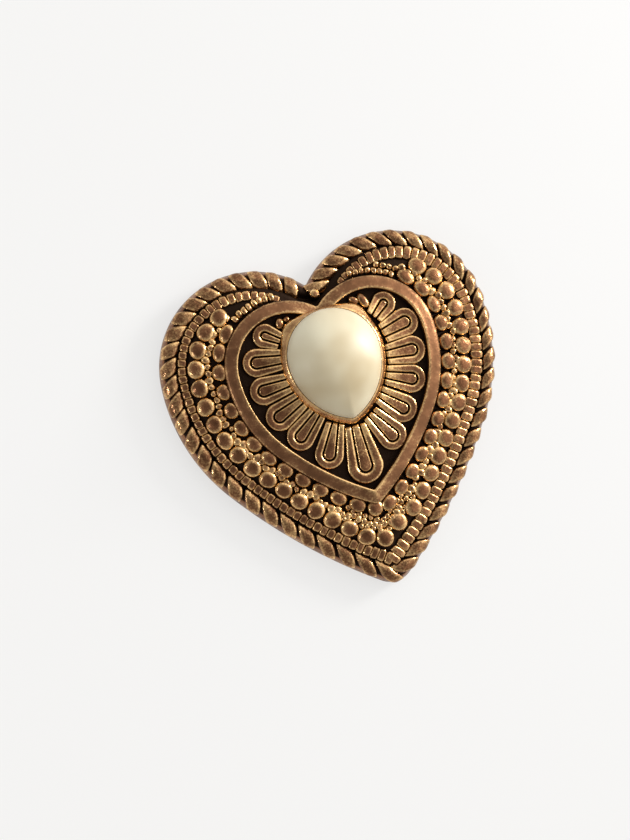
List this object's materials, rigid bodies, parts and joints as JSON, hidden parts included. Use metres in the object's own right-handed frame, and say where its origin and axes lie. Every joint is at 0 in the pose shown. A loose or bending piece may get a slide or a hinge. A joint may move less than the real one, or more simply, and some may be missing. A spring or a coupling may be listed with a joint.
{
  "type": "heart brooch",
  "caption": "Domed heart-shaped metal brooch with a rope border, bead rows, a petal fan round a pear-shaped faux pearl, and a hinged pin with a rolling safety catch in its hollow back.",
  "frame": {"origin": "middle of the heart's outline, level with the rim that the brooch rests on", "axes": "+Z out of the front, +Y from the point of the heart to its lobes, +X to the right seen from the front"},
  "size_m": [0.05, 0.0506, 0.0128],
  "materials": {
    "antique_gold": "antiqued gold plate on a white-metal casting, dark in the recesses and rubbed bright on the high points",
    "pearl": "cream pearlescent lacquer",
    "adhesive": "set clear epoxy, slightly yellow",
    "plated_steel": "thin pale gold plating on stamped steel",
    "solder": "dull grey soft solder"
  },
  "bodies": {
    "brooch_body": {"heart_casting": "antique_gold", "pearl_cabochon": "pearl", "cabochon_adhesive": "adhesive", "pin_bar": "plated_steel", "solder_joints": "solder", "hinge_rivet": "plated_steel", "catch_housing": "plated_steel"},
    "stem": {"pin_stem": "plated_steel"},
    "roller": {"catch_roller": "plated_steel"}
  },
  "joints": [
    {"name": "pin_stem_swing", "type": "hinge", "parent": "brooch_body", "child": "stem", "pos_m": [-0.011, 0.006, 0.002], "axis": [0, 1, 0], "range_deg": [0, 110]},
    {"name": "catch_roll", "type": "hinge", "parent": "brooch_body", "child": "roller", "pos_m": [0.0106, 0.006, 0.002], "axis": [1, 0, 0], "range_deg": [0, 85]}
  ]
}
